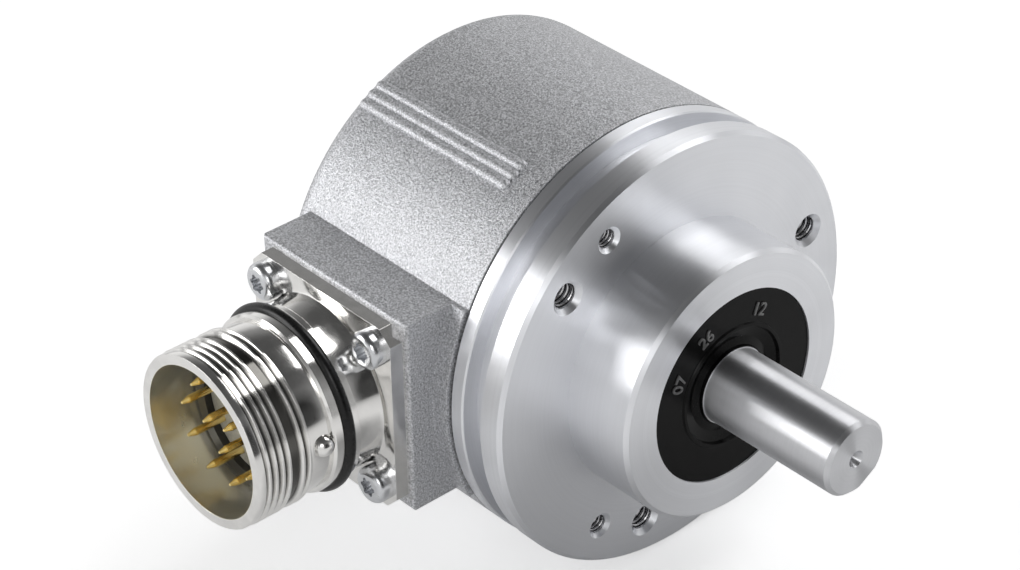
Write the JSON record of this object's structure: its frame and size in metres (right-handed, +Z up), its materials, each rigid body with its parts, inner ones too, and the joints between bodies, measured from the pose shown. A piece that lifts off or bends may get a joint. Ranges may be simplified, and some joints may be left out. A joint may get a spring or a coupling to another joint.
{
  "type": "rotary encoder",
  "caption": "Optical rotary encoder with clamping flange, pilot spigot, solid shaft with flat, ball bearings, glass code disc and a side-mounted round screw-on connector.",
  "frame": {"origin": "centre of the flange's mounting face, on the shaft's axis, where the pilot spigot starts", "axes": "+X along the shaft out of the flange, -Y along the connector out of its mouth, +Z up"},
  "size_m": [0.0715, 0.0831, 0.058],
  "materials": {
    "housing_casting": "fine sanded metallic die-cast finish",
    "turned_aluminium": "fine turned satin",
    "ground_steel": "ground and bevelled",
    "bearing_steel": "polished races",
    "spring_steel": "dark spring steel",
    "seal_rubber": "moulded black rubber, slight gloss",
    "nickel_plate": "nickel plated brass, glossy",
    "zinc_steel": "zinc plated screws",
    "insert_black": "moulded black plastic",
    "insert_stone": "pale grey moulded plastic",
    "contact_gold": "gold plated contacts",
    "disc_glass": "ground optical glass",
    "hub_aluminium": "turned, plain",
    "board_laminate": "solder resist over glass laminate",
    "chip_plastic": "moulded chip packages",
    "lamp_resin": "clear tinted resin",
    "bracket_plastic": "moulded bracket",
    "standoff_brass": "turned brass",
    "wire_sleeve": "coloured wire insulation"
  },
  "bodies": {
    "housing_body": {"flange": "turned_aluminium", "housing": "housing_casting", "housing_oring": "seal_rubber", "cover_screws": "zinc_steel", "cover_pillars": "hub_aluminium", "shaft_seal": "seal_rubber", "seal_case": "spring_steel", "garter_spring": "spring_steel", "front_bearing_outer_ring": "bearing_steel", "front_bearing_shields": "spring_steel", "rear_bearing_outer_ring": "bearing_steel", "rear_bearing_shields": "spring_steel", "preload_spring": "spring_steel", "bore_retaining_ring": "spring_steel", "connector_shell": "nickel_plate", "connector_oring": "seal_rubber", "plate_seal": "seal_rubber", "connector_screws": "zinc_steel", "insert_body": "insert_black", "insert_core": "insert_stone", "contact_pins": "contact_gold", "contact_wires": "wire_sleeve", "wire_header": "insert_black", "lamp_bracket": "bracket_plastic", "lamp": "lamp_resin", "reticle": "disc_glass", "sensor_chip": "chip_plastic", "sensor_board": "board_laminate", "main_board": "board_laminate", "board_packages": "chip_plastic", "board_standoffs": "standoff_brass", "board_spacers": "standoff_brass", "board_screws": "zinc_steel"},
    "rotor": {"shaft": "ground_steel", "front_bearing_inner_ring": "bearing_steel", "rear_bearing_inner_ring": "bearing_steel", "shaft_retaining_ring": "spring_steel", "disc_hub": "hub_aluminium", "code_disc": "disc_glass", "clamp_washer": "zinc_steel", "clamp_screw": "zinc_steel"},
    "front_ball_set": {"front_bearing_balls": "bearing_steel", "front_bearing_cage": "spring_steel"},
    "rear_ball_set": {"rear_bearing_balls": "bearing_steel", "rear_bearing_cage": "spring_steel"}
  },
  "joints": [
    {"name": "shaft_spin", "type": "hinge", "parent": "housing_body", "child": "rotor", "pos_m": [0, 0, 0], "axis": [1, 0, 0], "continuous": true},
    {"name": "front_ball_set_turn", "type": "hinge", "parent": "housing_body", "child": "front_ball_set", "pos_m": [0, 0, 0], "axis": [1, 0, 0], "continuous": true},
    {"name": "rear_ball_set_turn", "type": "hinge", "parent": "housing_body", "child": "rear_ball_set", "pos_m": [0, 0, 0], "axis": [1, 0, 0], "continuous": true}
  ],
  "couplings": [
    {"joint": "front_ball_set_turn", "follows": "shaft_spin", "ratio": 0.381},
    {"joint": "rear_ball_set_turn", "follows": "shaft_spin", "ratio": 0.381}
  ]
}
